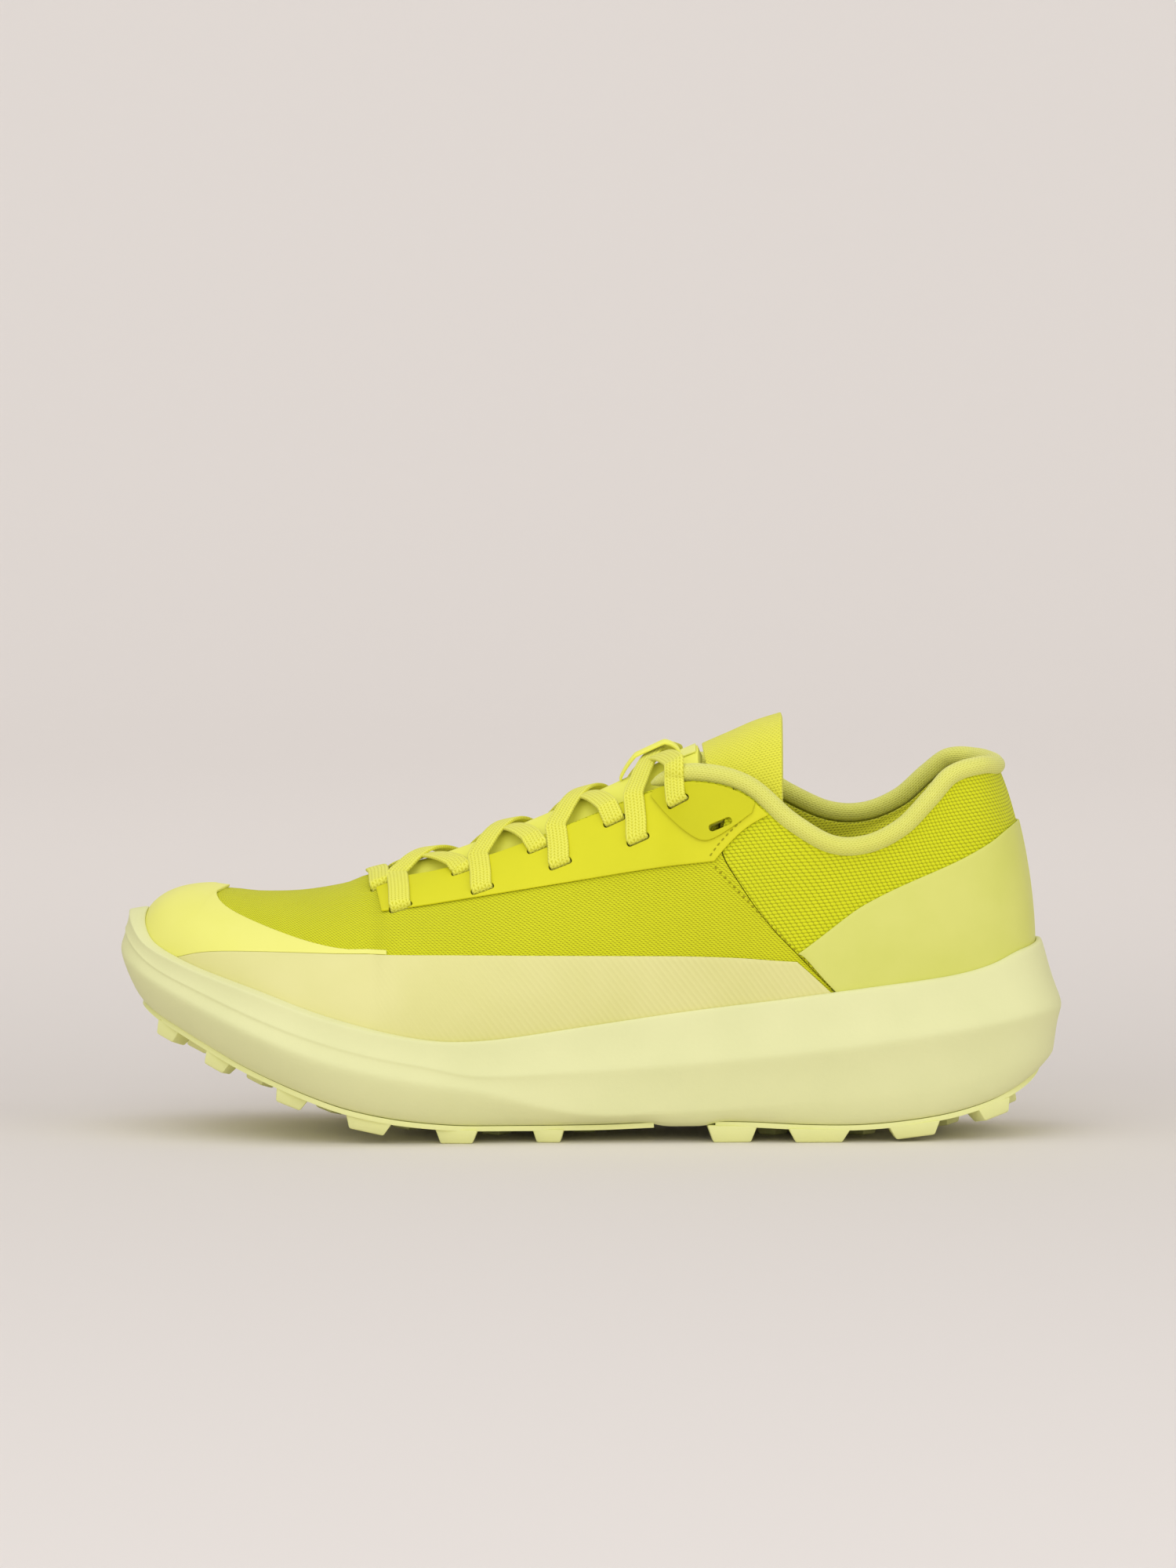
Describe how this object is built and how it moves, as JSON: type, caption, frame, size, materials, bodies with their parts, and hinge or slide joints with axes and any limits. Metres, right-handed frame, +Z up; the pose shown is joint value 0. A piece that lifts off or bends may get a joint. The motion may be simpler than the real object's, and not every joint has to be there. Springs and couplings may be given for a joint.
{
  "type": "running shoe",
  "caption": "Low-cut trail running shoe for a left foot: lugged sole, thick foam midsole, knitted upper with bonded films, flat lace.",
  "frame": {"origin": "on the ground, under the middle of the shoe's length and width", "axes": "+X towards the heel along the shoe's length, +Y towards the inner side of this left shoe, +Z up"},
  "size_m": [0.3, 0.1126, 0.134],
  "materials": {
    "outsole_rubber": "moulded, satin",
    "midsole_foam": "moulded foam, matt",
    "strobel_board": "needled board",
    "sockliner": "fabric over foam",
    "forefoot_knit": "open knit",
    "rear_knit": "dotted knit",
    "lining": "knit lining",
    "heel_counter": "moulded shell",
    "collar_foam": "open foam",
    "collar_lining": "knit lining",
    "pale_film": "bonded film, satin",
    "toe_film": "bonded film, satin",
    "heel_film": "bonded film, satin",
    "eyestay_film": "bonded film, matt",
    "roll_knit": "rolled knit",
    "tongue_film": "smooth padded fabric",
    "tongue_knit": "ribbed knit",
    "lace_weave": "flat woven lace"
  },
  "bodies": {
    "shoe": {"outsole_forefoot": "outsole_rubber", "outsole_heel": "outsole_rubber", "midsole": "midsole_foam", "strobel_board": "strobel_board", "vamp_mesh": "forefoot_knit", "rear_quarter": "rear_knit", "vamp_lining": "lining", "heel_counter": "heel_counter", "collar_foam": "collar_foam", "collar_lining": "collar_lining", "mudguard_lateral": "pale_film", "mudguard_medial": "pale_film", "toe_cap": "toe_film", "heel_overlay_lateral": "heel_film", "heel_overlay_medial": "heel_film", "heel_strip": "heel_film", "eyestay_lateral": "eyestay_film", "eyestay_medial": "eyestay_film", "eyestay_patch_lateral": "eyestay_film", "eyestay_patch_medial": "eyestay_film", "collar_roll": "roll_knit", "tongue": "tongue_film", "tongue_patch": "pale_film", "lace_keeper": "eyestay_film", "lace": "lace_weave"},
    "sockliner": {"sockliner": "sockliner"},
    "tongue_flap": {"tongue_flap": "tongue_knit"}
  },
  "joints": [
    {"name": "sockliner_lift", "type": "hinge", "parent": "shoe", "child": "sockliner", "pos_m": [-0.1375, 0.005, 0.0577], "axis": [0, -1, 0], "range_deg": [0, 3]},
    {"name": "tongue_flap_bend", "type": "hinge", "parent": "shoe", "child": "tongue_flap", "pos_m": [0.0346, 0, 0.1225], "axis": [0, -1, 0], "range_deg": [-4, 22]}
  ]
}
